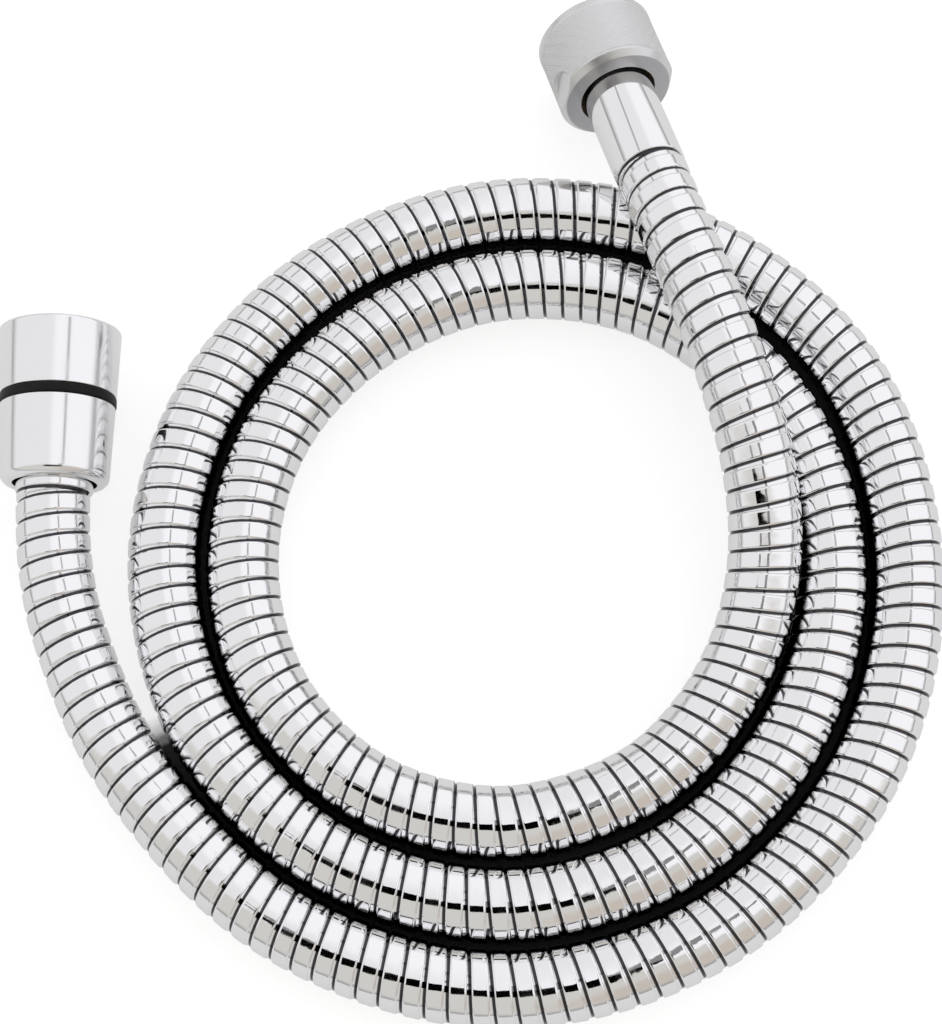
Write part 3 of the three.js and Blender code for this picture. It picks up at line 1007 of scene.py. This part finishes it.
def roof_card(name, tone, *patches):
    """Level patches of one tone in the tent's roof, each given by its x and y limits in mm."""
    corners = []
    for x0, x1, y0, y1 in patches:
        corners += [(x0, y0), (x1, y0), (x1, y1), (x0, y1)]
    mesh = bpy.data.meshes.new(name)
    faces = [range(i, i + 4) for i in range(0, len(corners), 4)]
    mesh.from_pydata([Vector((x, y, ROOF_HEIGHT)) * MM for x, y in corners], [], faces)
    card = stage_mesh(name, mesh, card_material(name, tone))
    card.visible_camera = False
    card.visible_shadow = False


ROOF_HEIGHT = 410
tent_world()
roof_card("roof_opening", 0.0, (-172, 110, -285, -138))
roof_card("raised_flaps", 0.25, (62, 110, -138, -20), (-130, -84, -138, -92))
roof_card("cloth_seams", 0.45, (102, 142, -20, 210), (-290, -236, 330, 900))

# %% [markdown]
# The sheet is white paper. A white studio sheet is lit until it shows no tone at all, which the sheet's own
# faint glow does here, only towards the camera and the mirrors, so that it lights nothing. Between two laps
# that touch, the glow stops and the sheet's colour is painted nearly black, as painted shadow. The middle of
# the sheet is therefore a fine grid, on which each point knows how far apart the two laps beside it lie.

# %% White sheet
SHEET_REACH = 2000
SHEET_GRID = 1
GRID_HALF = (100, 110)
SHEET_WHITE = (0.45, 0.45, 0.45)
SHEET_SHADED = (0.08, 0.08, 0.08)
SHEET_GLOW = 0.72
MIRRORED_GLOW = 0.40
GLOW_STOPS = 15.7
GLOW_FULL = 16.5


def sheet_mesh():
    columns = np.r_[-SHEET_REACH, np.arange(-GRID_HALF[0], GRID_HALF[0] + 1, SHEET_GRID), SHEET_REACH]
    rows = np.r_[-SHEET_REACH, np.arange(-GRID_HALF[1], GRID_HALF[1] + 1, SHEET_GRID), SHEET_REACH]
    across, down = np.meshgrid(columns, rows)
    places = np.stack([across.ravel(), down.ravel(), np.zeros(across.size)], axis=1) * MM
    wide = len(columns)
    first = (np.arange(len(rows) - 1)[:, None] * wide + np.arange(wide - 1)[None, :]).ravel()
    faces = np.stack([first, first + 1, first + wide + 1, first + wide], axis=1)
    mesh = bpy.data.meshes.new("white sheet")
    mesh.from_pydata(places.tolist(), [], faces.tolist())
    level = places + np.array([0, 0, HOSE_DIAMETER / 2 * MM])
    store_values(mesh, "lap spacing", lap_distances(level).sum(axis=0))
    return mesh


def sheet_material():
    material, tree, shader = new_material("white sheet")
    shader.inputs["Roughness"].default_value = 0.9
    shader.inputs["Specular IOR Level"].default_value = 0.0
    # Painted shadow: where two laps touch, the sheet's colour drops to SHEET_SHADED and its glow is switched
    # off.
    lit = between(tree, read_attribute(tree, "lap spacing"), GLOW_STOPS, GLOW_FULL)
    tree.links.new(mix_colours(tree, lit, SHEET_SHADED, SHEET_WHITE), shader.inputs["Base Color"])
    path = add_node(tree, "ShaderNodeLightPath").outputs
    mirrored = calc(tree, "MAXIMUM", path["Is Glossy Ray"], path["Is Transmission Ray"])
    seen = calc(tree, "MULTIPLY", path["Is Camera Ray"], SHEET_GLOW)
    glow = calc(tree, "MULTIPLY_ADD", mirrored, MIRRORED_GLOW, seen)
    shader.inputs["Emission Color"].default_value = (1, 1, 1, 1)
    tree.links.new(calc(tree, "MULTIPLY", glow, lit), shader.inputs["Emission Strength"])
    return material


stage_mesh("white_sheet", sheet_mesh(), sheet_material())
bpy.context.scene.view_settings.view_transform = "Standard"
